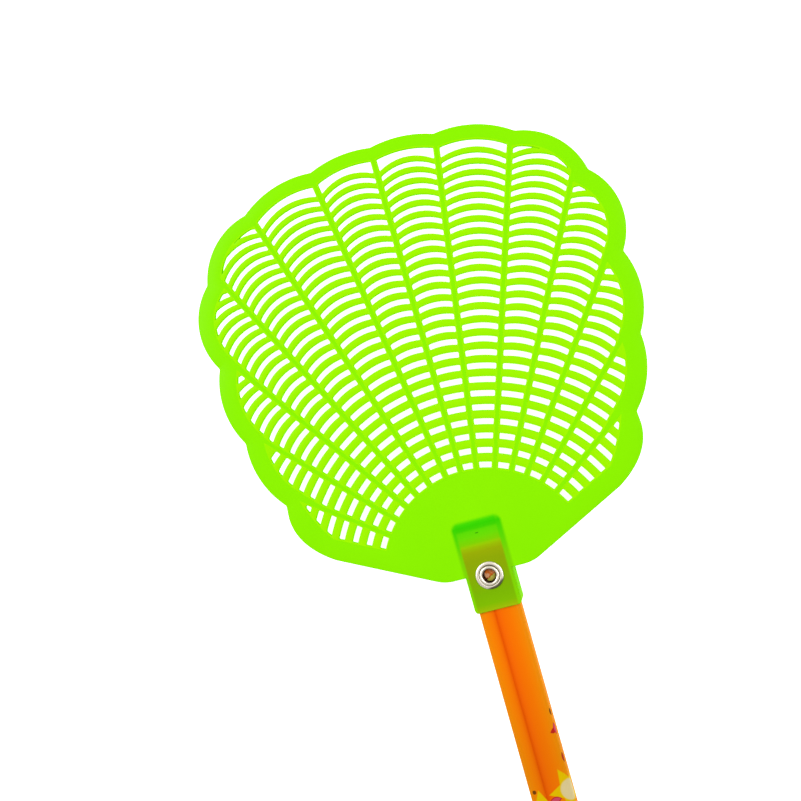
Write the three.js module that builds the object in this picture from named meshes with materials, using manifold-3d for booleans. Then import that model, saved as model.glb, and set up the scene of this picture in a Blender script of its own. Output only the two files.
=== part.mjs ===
// Fly swatter: a scallop-shell blade with arc-shaped slats, a rectangular socket moulded behind it,
// a flat wooden handle wrapped in printed film, one tubular eyelet and a cap with a hanging hole.
//
// Frame: millimetres. The swatter lies flat with its striking blade parallel to the floor.
// +Y runs from the cap to the tip of the blade, +Z is up, and the floor is z = 0.
// The head is laid out around the eyelet's centre: angles are measured from the +Y axis there.

import * as THREE from "three";
import { mergeGeometries, mergeVertices } from "three/addons/utils/BufferGeometryUtils.js";
import Module from "manifold-3d";

const wasm = await Module();
wasm.setup();

// ---- Overall ------------------------------------------------------------------------------
const OVERALL_LENGTH = 460;
const AXIS_Z = 5.2; // height of the handle's centre line above the floor

// ---- Blade --------------------------------------------------------------------------------
const PLATE_THICKNESS = 1.6;
// The points between the lobes of the outline, from the tip down: angle in degrees and radius.
const CUSPS = [
  [0, 129.2],
  [8.45, 128.9],
  [18.9, 128.2],
  [29.2, 119.8],
  [37.8, 100.65],
  [47.1, 82.1],
  [56.8, 63.6],
];
const LOBE_BULGES = [1.35, 2.3, 3.6, 4.6, 2.9, 2.4]; // height of each lobe's arc over its chord
const RIM_WIDTHS = [4.1, 4.4, 4.6, 5.4, 5.9, 6.2];
const LOBE_STEPS = 8;
const SHOULDER_TOP = [53.5, 31]; // the lowest lobe's side, its corner and where the slope starts
const SHOULDER_CORNER = [53.4, 22.1];
const SHOULDER_FOOT = [43, 15.4];
const SHOULDER_STEPS = 7;
const BASE_CORNER = [13.25, 0.7]; // where the slope meets the straight bottom edge
const BASE_ROUND = 2.6;
const LOWER_FIELD_ARC = { centre: [5, 49], radius: 45.5 }; // inner edge of the lowest rim

// ---- Ribs and openings --------------------------------------------------------------------
const RIB_ANGLES = [0, 8.6, 18.4, 27.3, 35.7, 44.5, 53.7, 63.3];
const RIB_WIDTH = 1.9;
const ROWS_PER_COLUMN = [26, 26, 26, 23, 17, 11, 7];
const FIRST_ROW_RADIUS = 32.2;
const ROW_PITCH = 4.26;
const ROW_PITCH_LOSS = 0.0225; // each row sits a little closer to the one before
const OPENING_HEIGHT = 1.7;
const OPENING_HEIGHT_LOSS = 0.011; // by how much it shrinks per row
const LAST_PLAIN_ROW = 6; // beyond it the slats bow outwards between the ribs
const BOW_PER_ROW = 0.115;
const FULL_HEIGHT_COLUMNS = 2; // here the last opening reaches the rim
const REACH_TO_RIM = 2; // by this much taller
const FIELD_DISC_STEPS = 72;
const FIELD_OVERRUN = 0.15;

// ---- Handle -------------------------------------------------------------------------------
const HANDLE_WIDTH = 12.5; // over the film
const HANDLE_DEPTH = 7.1;
const HANDLE_CORNER = 1.5;
const CORNER_STEPS = 4;
const FILM = 0.25;
const FILM_GAP = 0.05;
const LAP_EDGE_X = -1.8; // the film's outer edge, on the front face
const LAP_WIDTH = 3.2;
const LAP_HEIGHT = 0.15;
const HANDLE_TOP = 9.8; // how far past the eyelet's centre it goes into the socket

// ---- Socket -------------------------------------------------------------------------------
const SOCKET_WIDTH = 14.2;
const SOCKET_DEPTH = 8.8;
const SOCKET_TOP = 16.6;
const SOCKET_MOUTH = -10.2;
const SOCKET_END_WALL = 2;
const SOCKET_SIDE_PLAY = 0.12;
const SOCKET_FACE_PLAY = 0.2;

// ---- Eyelet and its washer ----------------------------------------------------------------
const BARREL_RADIUS = 2.3;
const BORE_RADIUS = 1.95;
const EYELET_HOLE_RADIUS = 2.4;
const FLANGE_RADIUS = 4;
const FLANGE_HEIGHT = 0.78;
const CURL_RADIUS = 0.5; // half the width of the rolled-over end
const WASHER_RADIUS = 4.1;
const WASHER_HEIGHT = 0.45;
const TURN_STEPS = 32;

// ---- Punched-out plug and chip inside the eyelet ------------------------------------------
const PLUG_RADIUS = 1.8;
const PLUG_BOTTOM = 1.9;
const PLUG_TOP = 8.3;
const CHIP_RADIUS = 1.75;
const CHIP_THICKNESS = 0.75;
const CHIP_CHORD = 0.35; // distance from the chip's straight edge to the bore's axis
const CHIP_DIRECTION = -61; // degrees from +X

// ---- End cap ------------------------------------------------------------------------------
const CAP_WIDTH = 15;
const CAP_DEPTH = 2 * AXIS_Z;
const CAP_CORNER = 2;
const CAP_BODY = 22;
const CAP_POCKET = 18;
const CAP_PLAY = 0.1;
const TAB_LENGTH = 16;
const TAB_DEPTH = 5;
const TAB_STEPS = 12;
const HANG_HOLE_RADIUS = 3.5;
const HANG_HOLE_FROM_END = 7.5;

const socketFront = AXIS_Z + SOCKET_DEPTH / 2;
const socketBack = AXIS_Z - SOCKET_DEPTH / 2;

// ---- Solids -------------------------------------------------------------------------------
function toSolid(geometry) {
  const bare = geometry.clone();
  bare.deleteAttribute("normal");
  bare.deleteAttribute("uv");
  const merged = mergeVertices(bare, 1e-4);
  return new wasm.Manifold(
    new wasm.Mesh({
      numProp: 3,
      vertProperties: Float32Array.from(merged.getAttribute("position").array),
      triVerts: Uint32Array.from(merged.getIndex().array),
    }),
  );
}

function toGeometry(solid) {
  const mesh = solid.getMesh();
  const geometry = new THREE.BufferGeometry();
  geometry.setAttribute("position", new THREE.Float32BufferAttribute(mesh.vertProperties, 3));
  geometry.setIndex(new THREE.Uint32BufferAttribute(mesh.triVerts, 1));
  const faceted = geometry.toNonIndexed();
  faceted.computeVertexNormals();
  return faceted;
}

// A plate between two heights, with its outline in the XY plane.
function plate(points, bottom, top) {
  const shape = new THREE.Shape(points);
  const geometry = new THREE.ExtrudeGeometry(shape, { depth: top - bottom, bevelEnabled: false });
  return geometry.translate(0, 0, bottom);
}

// A bar along Y between two ends, with its section's points given as (x, z) about the centre line.
function bar(section, start, end) {
  const shape = new THREE.Shape(section.map((p) => new THREE.Vector2(p.x, -p.y)));
  const geometry = new THREE.ExtrudeGeometry(shape, { depth: end - start, bevelEnabled: false });
  return geometry.rotateX(-Math.PI / 2).translate(0, start, AXIS_Z);
}

function roundedRectangle(width, height, corner) {
  const points = [];
  for (let quarter = 0; quarter < 4; quarter += 1) {
    const signX = quarter === 0 || quarter === 3 ? 1 : -1;
    const signY = quarter < 2 ? 1 : -1;
    for (let step = 0; step <= CORNER_STEPS; step += 1) {
      const turn = (quarter + step / CORNER_STEPS) * (Math.PI / 2);
      points.push(
        new THREE.Vector2(
          signX * (width / 2 - corner) + corner * Math.cos(turn),
          signY * (height / 2 - corner) + corner * Math.sin(turn),
        ),
      );
    }
  }
  return points;
}

function rectangle(left, right, low, high) {
  return [
    new THREE.Vector2(left, low),
    new THREE.Vector2(right, low),
    new THREE.Vector2(right, high),
    new THREE.Vector2(left, high),
  ];
}

// A turned piece around a vertical axis through the eyelet, from a closed profile of (radius, z).
function turned(profile) {
  const closed = [...profile, profile[0]].map(([radius, z]) => new THREE.Vector2(radius, z));
  return new THREE.LatheGeometry(closed, TURN_STEPS).rotateX(Math.PI / 2);
}

function uprightCylinder(radius, bottom, top, steps) {
  const height = top - bottom;
  return new THREE.CylinderGeometry(radius, radius, height, steps)
    .rotateX(Math.PI / 2)
    .translate(0, 0, bottom + height / 2);
}

const eyeletHole = () => toSolid(uprightCylinder(EYELET_HOLE_RADIUS, -1, 2 * AXIS_Z + 1, TURN_STEPS));

// ---- Blade --------------------------------------------------------------------------------
function polar(degrees, radius) {
  const angle = THREE.MathUtils.degToRad(degrees);
  return new THREE.Vector2(radius * Math.sin(angle), radius * Math.cos(angle));
}

// The circle of lobe number k of the outline, on the +X side.
function lobeCircle(k) {
  const upper = polar(...CUSPS[k]);
  const lower = polar(...CUSPS[k + 1]);
  const chord = lower.clone().sub(upper);
  const outward = new THREE.Vector2(-chord.y, chord.x).normalize();
  const bulge = LOBE_BULGES[k];
  const radius = (chord.lengthSq() / 4 + bulge * bulge) / (2 * bulge);
  const middle = upper.clone().add(lower).multiplyScalar(0.5);
  const centre = middle.addScaledVector(outward, bulge - radius);
  return { centre, radius, upper, lower };
}

// Points along that circle from cusp to cusp, moved inwards by inset and lengthened by overrun
// at both ends, where overrun is an angle in radians.
function lobePoints(k, inset = 0, overrun = 0) {
  const { centre, radius, upper, lower } = lobeCircle(k);
  const start = upper.clone().sub(centre).angle();
  let end = lower.clone().sub(centre).angle();
  if (end > start) end -= 2 * Math.PI;
  const points = [];
  for (let step = 0; step <= LOBE_STEPS; step += 1) {
    const turn = start + overrun + ((end - start - 2 * overrun) * step) / LOBE_STEPS;
    const arm = new THREE.Vector2(Math.cos(turn), Math.sin(turn)).multiplyScalar(radius - inset);
    points.push(arm.add(centre));
  }
  return points;
}

// The +X half of the outline, from the first point right of the tip down to the socket.
function halfOutline() {
  const points = LOBE_BULGES.flatMap((bulge, k) => lobePoints(k).slice(1));
  const shoulder = new THREE.QuadraticBezierCurve(
    new THREE.Vector2(...SHOULDER_TOP),
    new THREE.Vector2(...SHOULDER_CORNER),
    new THREE.Vector2(...SHOULDER_FOOT),
  );
  const corner = new THREE.Vector2(...BASE_CORNER);
  const slope = new THREE.Vector2(...SHOULDER_FOOT).sub(corner).normalize();
  const base = new THREE.QuadraticBezierCurve(
    corner.clone().addScaledVector(slope, BASE_ROUND),
    corner,
    corner.clone().sub(new THREE.Vector2(BASE_ROUND, 0)),
  );
  points.push(...shoulder.getPoints(SHOULDER_STEPS), ...base.getPoints(3));
  points.push(new THREE.Vector2(SOCKET_WIDTH / 2, BASE_CORNER[1]));
  points.push(new THREE.Vector2(SOCKET_WIDTH / 2, SOCKET_TOP));
  return points;
}

function mirrored(points) {
  return points.map((p) => new THREE.Vector2(-p.x, p.y)).reverse();
}

// One opening between two slats: its two long edges are arcs, its ends lie along the ribs.
function openingOutline(column, row) {
  const middle = FIRST_ROW_RADIUS + ROW_PITCH * row - ROW_PITCH_LOSS * row * row;
  const bow = BOW_PER_ROW * Math.max(0, row - LAST_PLAIN_ROW);
  const steps = row > LAST_PLAIN_ROW ? 3 : 1;
  const reachesRim = column < FULL_HEIGHT_COLUMNS && row === ROWS_PER_COLUMN[column] - 1;
  const height = OPENING_HEIGHT - OPENING_HEIGHT_LOSS * row;
  const outerRadius = middle + height / 2 + (reachesRim ? REACH_TO_RIM : 0);
  const edge = (radius) => {
    const ribSide = THREE.MathUtils.radToDeg(Math.asin(RIB_WIDTH / 2 / radius));
    const left = RIB_ANGLES[column] + ribSide;
    const right = RIB_ANGLES[column + 1] - ribSide;
    const points = [];
    for (let step = 0; step <= steps; step += 1) {
      const across = (2 * step) / steps - 1;
      points.push(polar(left + ((right - left) * step) / steps, radius - bow * across * across));
    }
    return points;
  };
  return [...edge(middle - height / 2), ...edge(outerRadius).reverse()];
}

// The area inside the rim at one column: a fan from the eyelet's centre to the rim's inner arc.
function fieldOutline(column) {
  if (column < RIM_WIDTHS.length) {
    return [new THREE.Vector2(0, 0), ...lobePoints(column, RIM_WIDTHS[column], FIELD_OVERRUN)];
  }
  const [x, y] = LOWER_FIELD_ARC.centre;
  const disc = new THREE.Path().absarc(x, y, LOWER_FIELD_ARC.radius, 0, 2 * Math.PI);
  return disc.getPoints(FIELD_DISC_STEPS).slice(1);
}

// All openings of one column, cut off where the rim begins.
function columnOpenings(column, side) {
  const bottom = socketFront - PLATE_THICKNESS - 1;
  const top = socketFront + 1;
  const outlines = Array.from({ length: ROWS_PER_COLUMN[column] }, (unused, row) => {
    const outline = openingOutline(column, row);
    return side > 0 ? outline : mirrored(outline);
  });
  const openings = mergeGeometries(outlines.map((outline) => plate(outline, bottom, top)));
  const field = side > 0 ? fieldOutline(column) : mirrored(fieldOutline(column));
  return toSolid(openings).intersect(toSolid(plate(field, bottom - 1, top + 1)));
}

function bladeGeometry() {
  const half = halfOutline();
  const tip = polar(...CUSPS[0]);
  const outline = [tip, ...half, ...mirrored(half)];
  let blade = toSolid(plate(outline, socketFront - PLATE_THICKNESS, socketFront));
  for (let column = 0; column < ROWS_PER_COLUMN.length; column += 1) {
    for (const side of [1, -1]) {
      blade = blade.subtract(columnOpenings(column, side));
    }
  }
  return toGeometry(blade);
}

// ---- Socket -------------------------------------------------------------------------------
function socketGeometry() {
  const outer = rectangle(-SOCKET_WIDTH / 2, SOCKET_WIDTH / 2, -SOCKET_DEPTH / 2, SOCKET_DEPTH / 2);
  const halfWidth = HANDLE_WIDTH / 2 + SOCKET_SIDE_PLAY;
  const halfDepth = HANDLE_DEPTH / 2 + SOCKET_FACE_PLAY;
  const inner = rectangle(-halfWidth, halfWidth, -halfDepth, halfDepth);
  const shell = toSolid(bar(outer, SOCKET_MOUTH, SOCKET_TOP));
  const pocket = toSolid(bar(inner, SOCKET_MOUTH - 1, SOCKET_TOP - SOCKET_END_WALL));
  return toGeometry(shell.subtract(pocket).subtract(eyeletHole()));
}

// ---- Handle -------------------------------------------------------------------------------
function coreGeometry(handleEnd) {
  const trim = 2 * (FILM + FILM_GAP);
  const corner = HANDLE_CORNER - FILM - FILM_GAP;
  const section = roundedRectangle(HANDLE_WIDTH - trim, HANDLE_DEPTH - trim, corner);
  const core = toSolid(bar(section, handleEnd, HANDLE_TOP));
  return toGeometry(core.subtract(eyeletHole()));
}

// The film is a sleeve with a raised strip along its front, where one edge laps over the other.
function filmGeometry(handleEnd) {
  const outer = roundedRectangle(HANDLE_WIDTH, HANDLE_DEPTH, HANDLE_CORNER);
  const corner = HANDLE_CORNER - FILM;
  const inner = roundedRectangle(HANDLE_WIDTH - 2 * FILM, HANDLE_DEPTH - 2 * FILM, corner);
  const front = HANDLE_DEPTH / 2;
  const lap = rectangle(LAP_EDGE_X, LAP_EDGE_X + LAP_WIDTH, front - FILM / 2, front + LAP_HEIGHT);
  const sleeve = toSolid(bar(outer, handleEnd, HANDLE_TOP)).add(toSolid(bar(lap, handleEnd, HANDLE_TOP)));
  const hollow = toSolid(bar(inner, handleEnd - 1, HANDLE_TOP + 1));
  return toGeometry(sleeve.subtract(hollow).subtract(eyeletHole()));
}

// ---- Eyelet -------------------------------------------------------------------------------
// A tube with a dished flange behind the socket and an end rolled over the washer in front.
function eyeletGeometry() {
  const curlBase = socketFront + WASHER_HEIGHT + 0.03;
  const curlMiddle = BORE_RADIUS + CURL_RADIUS;
  const profile = [
    [FLANGE_RADIUS, FLANGE_HEIGHT],
    [BARREL_RADIUS, FLANGE_HEIGHT],
    [BARREL_RADIUS, curlBase],
    [curlMiddle + CURL_RADIUS, curlBase],
  ];
  for (let step = 1; step <= 6; step += 1) {
    const turn = (Math.PI * step) / 6;
    profile.push([curlMiddle + CURL_RADIUS * Math.cos(turn), curlBase + CURL_RADIUS * Math.sin(turn)]);
  }
  profile.push([BORE_RADIUS, 0.4], [2.3, 0.06], [2.9, 0], [3.5, 0.1], [3.9, 0.4]);
  return turned(profile);
}

// A ring with a flat back and a domed front.
function washerGeometry() {
  const inner = EYELET_HOLE_RADIUS;
  const profile = [
    [inner, 0],
    [WASHER_RADIUS, 0],
    [WASHER_RADIUS - 0.08, 0.18],
    [WASHER_RADIUS - 0.35, 0.36],
    [WASHER_RADIUS - 0.8, WASHER_HEIGHT],
    [inner, WASHER_HEIGHT],
  ];
  return turned(profile).translate(0, 0, socketFront);
}

// The disc of film and wood that the eyelet punched out and holds in its bore.
function plugGeometry() {
  return uprightCylinder(PLUG_RADIUS, PLUG_BOTTOM, PLUG_TOP, 24);
}

// The broken disc of the socket's front wall, on top of the plug and to one side.
function chipGeometry() {
  const halfAngle = Math.acos(CHIP_CHORD / CHIP_RADIUS);
  const direction = THREE.MathUtils.degToRad(CHIP_DIRECTION);
  const arc = new THREE.Path().absarc(0, 0, CHIP_RADIUS, direction - halfAngle, direction + halfAngle);
  return plate(arc.getPoints(12), PLUG_TOP + 0.05, PLUG_TOP + 0.05 + CHIP_THICKNESS);
}

// ---- End cap ------------------------------------------------------------------------------
function capGeometry(capEnd) {
  const bodyStart = capEnd + TAB_LENGTH;
  const bodyEnd = bodyStart + CAP_BODY;
  const body = toSolid(bar(roundedRectangle(CAP_WIDTH, CAP_DEPTH, CAP_CORNER), bodyStart, bodyEnd));
  const tabRadius = CAP_WIDTH / 2;
  const tabArc = new THREE.Path().absarc(0, capEnd + tabRadius, tabRadius, Math.PI, 2 * Math.PI);
  const rootY = bodyStart + 2;
  const tabOutline = [
    ...tabArc.getPoints(TAB_STEPS),
    new THREE.Vector2(tabRadius, rootY),
    new THREE.Vector2(-tabRadius, rootY),
  ];
  const tab = toSolid(plate(tabOutline, AXIS_Z - TAB_DEPTH / 2, AXIS_Z + TAB_DEPTH / 2));
  const pocketSection = roundedRectangle(
    HANDLE_WIDTH + 2 * CAP_PLAY,
    HANDLE_DEPTH + 2 * (CAP_PLAY + LAP_HEIGHT),
    HANDLE_CORNER,
  );
  const pocket = toSolid(bar(pocketSection, bodyEnd - CAP_POCKET, bodyEnd + 1));
  const hole = uprightCylinder(HANG_HOLE_RADIUS, -1, CAP_DEPTH + 1, 28);
  hole.translate(0, capEnd + HANG_HOLE_FROM_END, 0);
  return toGeometry(body.add(tab).subtract(pocket).subtract(toSolid(hole)));
}

// ---- Assembly -----------------------------------------------------------------------------
const limePlastic = { color: 0x84dd10, roughness: 0.35, metalness: 0 };
const orangeFilm = { color: 0xf56a08, roughness: 0.3, metalness: 0 };
const paleWood = { color: 0xd9b98a, roughness: 0.7, metalness: 0 };
const nickel = { color: 0xcfcac2, roughness: 0.25, metalness: 1 };

function piece(name, geometry, finish) {
  const mesh = new THREE.Mesh(geometry, new THREE.MeshStandardMaterial(finish));
  mesh.name = name;
  return mesh;
}

const blade = bladeGeometry();
blade.computeBoundingBox();
const bladeTop = blade.boundingBox.max.y;
const capEnd = bladeTop - OVERALL_LENGTH;
const handleEnd = capEnd + TAB_LENGTH + CAP_BODY - CAP_POCKET + 0.3;

const flySwatter = new THREE.Group();
flySwatter.position.y = OVERALL_LENGTH / 2 - bladeTop;
flySwatter.add(
  piece("blade", blade, limePlastic),
  piece("socket", socketGeometry(), limePlastic),
  piece("handle_core", coreGeometry(handleEnd), paleWood),
  piece("handle_film", filmGeometry(handleEnd), orangeFilm),
  piece("eyelet", eyeletGeometry(), nickel),
  piece("eyelet_washer", washerGeometry(), nickel),
  piece("punched_plug", plugGeometry(), orangeFilm),
  piece("punched_chip", chipGeometry(), limePlastic),
  piece("end_cap", capGeometry(capEnd), limePlastic),
);

export default flySwatter;
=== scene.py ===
"""Fly swatter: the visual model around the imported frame.

The swatter lies flat, +Y towards the blade's tip and +Z up. Dimensions are in millimetres and
are turned into metres by MM. The head is laid out around the eyelet's centre, as in the CAD.
"""

import math
import random

import bpy
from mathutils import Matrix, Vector
from mathutils.geometry import delaunay_2d_cdt


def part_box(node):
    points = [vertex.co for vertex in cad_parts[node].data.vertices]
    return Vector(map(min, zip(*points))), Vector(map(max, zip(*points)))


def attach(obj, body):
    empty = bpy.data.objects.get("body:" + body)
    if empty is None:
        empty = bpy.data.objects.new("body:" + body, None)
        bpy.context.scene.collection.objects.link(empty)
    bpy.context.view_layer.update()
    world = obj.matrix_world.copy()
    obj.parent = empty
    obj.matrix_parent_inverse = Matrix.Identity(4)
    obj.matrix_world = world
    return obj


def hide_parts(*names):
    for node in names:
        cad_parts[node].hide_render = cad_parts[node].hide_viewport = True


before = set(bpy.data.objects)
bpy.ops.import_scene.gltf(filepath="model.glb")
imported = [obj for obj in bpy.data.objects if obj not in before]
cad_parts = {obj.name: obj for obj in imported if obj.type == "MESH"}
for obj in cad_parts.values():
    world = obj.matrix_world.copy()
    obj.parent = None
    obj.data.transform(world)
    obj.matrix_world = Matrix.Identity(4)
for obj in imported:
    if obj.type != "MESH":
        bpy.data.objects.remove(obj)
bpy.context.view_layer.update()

MM = 0.001
random.seed(7)

# ---- Places, from the frame ---------------------------------------------------------------
eyelet_low, eyelet_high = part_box("eyelet")
blade_low, blade_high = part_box("blade")
socket_low, socket_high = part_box("socket")
film_low, film_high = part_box("handle_film")
plug_low, plug_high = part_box("punched_plug")
chip_low, chip_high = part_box("punched_chip")
washer_low, washer_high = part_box("eyelet_washer")
cap_low, cap_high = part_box("end_cap")

EYELET_Y = (eyelet_low.y + eyelet_high.y) / 2 / MM
FRONT_Z = blade_high.z / MM
BACK_Z = blade_low.z / MM
AXIS_Z = (socket_low.z + socket_high.z) / 2 / MM

# ---- Blade: the same layout as in the CAD -------------------------------------------------
# The cusps between the lobes of one half: degrees from the middle line, distance from the eyelet.
CUSPS = [
    (0, 129.2), (8.45, 128.9), (18.9, 128.2), (29.2, 119.8), (37.8, 100.65), (47.1, 82.1), (56.8, 63.6),
]
LOBE_BULGES = [1.35, 2.3, 3.6, 4.6, 2.9, 2.4]
RIM_WIDTHS = [4.1, 4.4, 4.6, 5.4, 5.9, 6.2]
SHOULDER = [(53.5, 31), (53.4, 22.1), (43, 15.4)]
BASE_CORNER = (13.25, 0.7)
BASE_ROUND = 2.6
LOWER_FIELD_CENTRE = (5, 49)
LOWER_FIELD_RADIUS = 45.5
LOWER_FIELD_TURNS = range(30, -63, -4)
RIB_ANGLES = [0, 8.6, 18.4, 27.3, 35.7, 44.5, 53.7, 63.3]
RIB_WIDTH = 1.9
ROWS_PER_COLUMN = [26, 26, 26, 23, 17, 11, 7]
FIRST_ROW_RADIUS = 32.2
ROW_PITCH = 4.26
ROW_PITCH_LOSS = 0.0225
OPENING_HEIGHT = 1.7
OPENING_HEIGHT_LOSS = 0.011
REACH_TO_RIM = 2
LAST_PLAIN_ROW = 6
BOW_PER_ROW = 0.115
FULL_HEIGHT_COLUMNS = 2

LOBE_STEPS = 22
SHOULDER_STEPS = 16
BASE_STEPS = 5
CELL_STEPS = 6
RIM_OVERRUN = 0.04
CUSP_ROUND = 0.9
OPENING_ROUND = 0.38
CELL_ROUND = 0.35
EDGE_ROUND = 0.4
OPENING_EDGE = 0.15
RECESS_EDGE = 0.18
SLAT_RECESS = 0.45
RIB_CREST = 1.05
CELL_MARGIN = (RIB_WIDTH - RIB_CREST) / 2
RIM_MARGIN = 0.5
OPENING_STEPS = 9
SLAT_FINISH = 1
FAR = 150

# ---- Socket, handle and cap: sizes as in the CAD, and the finer shapes of their edges ------
SOCKET_TOP = (socket_high.y / MM) - EYELET_Y
SOCKET_MOUTH = (socket_low.y / MM) - EYELET_Y
SOCKET_WIDTH = (socket_high.x - socket_low.x) / MM
SOCKET_DEPTH = (socket_high.z - socket_low.z) / MM
SOCKET_CORNER = 0.7
SOCKET_SIDE_ROUND = 1.2
SOCKET_FACE_ROUND = 0.3
SOCKET_END_WALL = 2
SOCKET_SIDE_PLAY = 0.12
SOCKET_FACE_PLAY = 0.2
POCKET_CORNER = 1
EYELET_HOLE_RADIUS = 2.4
HOLE_STEPS = 64
HANDLE_WIDTH = (film_high.x - film_low.x) / MM
HANDLE_DEPTH = 2 * (AXIS_Z - film_low.z / MM)
HANDLE_CORNER = 1.5
HANDLE_TOP = (film_high.y / MM) - EYELET_Y
HANDLE_END = (film_low.y / MM) - EYELET_Y
FILM = 0.25
FILM_GAP = 0.05
STICK_ROUND = 0.3
LAP_EDGE_X = -1.5
# Places across the film where its lap rises over the edge below, and shares of the lap's height.
LAP_SLOPE = [(3.4, 0), (2.6, 0.1), (1.8, 0.45), (1, 0.85), (0.2, 1)]
LAP_END = [(LAP_EDGE_X + 0.15, 1), (LAP_EDGE_X + 0.03, 0.8), (LAP_EDGE_X - 0.03, 0)]
LAP_HEIGHT = film_high.z / MM - AXIS_Z - HANDLE_DEPTH / 2
CAP_END = (cap_low.y / MM) - EYELET_Y
CAP_MOUTH = (cap_high.y / MM) - EYELET_Y
CAP_WIDTH = (cap_high.x - cap_low.x) / MM
CAP_DEPTH = (cap_high.z - cap_low.z) / MM
CAP_CORNER = 2
CAP_POCKET = 18
CAP_PLAY = 0.1
CAP_ROUND = 0.9
TAB_LENGTH = 16
TAB_DEPTH = 5
HANG_HOLE_RADIUS = 3.5
HANG_HOLE_FROM_END = 7.5
HANG_HOLE_STEPS = 56
HANG_HOLE_ROUND = 0.6
TAB_END_STEPS = 36
BAR_END_STEPS = 8
SHARP_ABOVE = 40


def polar(degrees, radius):
    angle = math.radians(degrees)
    return Vector((radius * math.sin(angle), radius * math.cos(angle)))


def towards(turn):
    """A unit vector at an angle in radians from +X."""
    return Vector((math.cos(turn), math.sin(turn)))


def lobe_circle(k):
    """A lobe's centre and radius, and the cusps above and below it."""
    upper, lower = polar(*CUSPS[k]), polar(*CUSPS[k + 1])
    chord = lower - upper
    outward = Vector((-chord.y, chord.x)).normalized()
    bulge = LOBE_BULGES[k]
    radius = (chord.length_squared / 4 + bulge * bulge) / (2 * bulge)
    return (upper + lower) / 2 + outward * (bulge - radius), radius, upper, lower


def lobe_points(k, inset=0.0, overrun=0.0):
    """Points along a lobe's arc, moved inwards by inset and lengthened at both ends by overrun."""
    centre, radius, upper, lower = lobe_circle(k)
    start = math.atan2(upper.y - centre.y, upper.x - centre.x)
    sweep = (math.atan2(lower.y - centre.y, lower.x - centre.x) - start) % math.tau - math.tau
    start, sweep = start + overrun, sweep - 2 * overrun
    turns = [start + sweep * step / LOBE_STEPS for step in range(LOBE_STEPS + 1)]
    return [centre + (radius - inset) * towards(turn) for turn in turns]


def quadratic(a, b, c, steps):
    a, b, c = Vector(a), Vector(b), Vector(c)
    ts = [step / steps for step in range(steps + 1)]
    return [a * (1 - t) ** 2 + b * 2 * t * (1 - t) + c * t * t for t in ts]


def mirrored(points):
    return [Vector((-p.x, p.y)) for p in reversed(points)]


def rounded(points, radius, least_turn=25, steps=3):
    """Replaces each sharp corner of a closed outline by a small curve."""
    result = []
    count = len(points)
    for i, here in enumerate(points):
        before, after = points[i - 1] - here, points[(i + 1) % count] - here
        reach = min(radius, before.length * 0.45, after.length * 0.45)
        turn = 180 - math.degrees(before.angle(after, math.pi))
        if turn < least_turn:
            result.append(here)
            continue
        start, end = here + before.normalized() * reach, here + after.normalized() * reach
        result += quadratic(start, here, end, steps)
    return result


def blade_outline():
    """Lobes, shoulders and straight foot of both halves, clockwise from the tip."""
    half = [p for k in range(len(LOBE_BULGES)) for p in lobe_points(k)[1:]]
    corner, foot = Vector(BASE_CORNER), Vector(SHOULDER[2])
    slope = (foot - corner).normalized() * BASE_ROUND
    half += quadratic(*SHOULDER, SHOULDER_STEPS)
    half += quadratic(corner + slope, corner, corner - Vector((BASE_ROUND, 0)), BASE_STEPS)
    return rounded([polar(*CUSPS[0])] + half + mirrored(half), CUSP_ROUND, least_turn=14, steps=5)


def rim_arc(column, beyond=0.0):
    """The rim's inner edge at one column, moved outwards by beyond."""
    if column < len(RIM_WIDTHS):
        return lobe_points(column, RIM_WIDTHS[column] - beyond, RIM_OVERRUN)
    centre = Vector(LOWER_FIELD_CENTRE)
    radius = LOWER_FIELD_RADIUS + beyond
    return [centre + radius * towards(math.radians(turn)) for turn in LOWER_FIELD_TURNS]


def clipped(points, arc):
    """Cuts off the part of an outline that lies outside a clockwise arc's chords."""
    for a, b in zip(arc, arc[1:]):
        outward = Vector((a.y - b.y, b.x - a.x))
        heights = [(p - a).dot(outward) for p in points]
        kept = []
        for i, here in enumerate(points):
            height, last = heights[i], heights[i - 1]
            if (height > 0) != (last > 0):
                kept.append(points[i - 1].lerp(here, last / (last - height)))
            if height <= 0:
                kept.append(here)
        points = kept
    return points


def tidied(points, least=0.05):
    """Drops points that nearly coincide with the one before."""
    kept = []
    for point in points:
        if not kept or (point - kept[-1]).length > least:
            kept.append(point)
    while len(kept) > 1 and (kept[0] - kept[-1]).length <= least:
        kept.pop()
    return kept


def column_side(column, radius, clearance):
    """Angles of a column's two sides at a radius, each a clearance away from its rib's middle."""
    lean = math.degrees(math.asin(clearance / radius))
    return RIB_ANGLES[column] + lean, RIB_ANGLES[column + 1] - lean


def opening(column, row):
    """One opening between two slats: arcs along the slats, ends along the ribs, cut by the rim."""
    middle = FIRST_ROW_RADIUS + ROW_PITCH * row - ROW_PITCH_LOSS * row * row
    bow = BOW_PER_ROW * max(0, row - LAST_PLAIN_ROW)
    height = OPENING_HEIGHT - OPENING_HEIGHT_LOSS * row
    last = column < FULL_HEIGHT_COLUMNS and row == ROWS_PER_COLUMN[column] - 1

    def edge(radius):
        left, right = column_side(column, radius, RIB_WIDTH / 2)
        shares = [step / OPENING_STEPS for step in range(OPENING_STEPS + 1)]
        return [polar(left + (right - left) * t, radius - bow * (2 * t - 1) ** 2) for t in shares]

    inner = edge(middle - height / 2)
    outer = edge(middle + height / 2 + (REACH_TO_RIM if last else 0))
    return rounded(tidied(clipped(inner + outer[::-1], rim_arc(column))), OPENING_ROUND)


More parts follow.
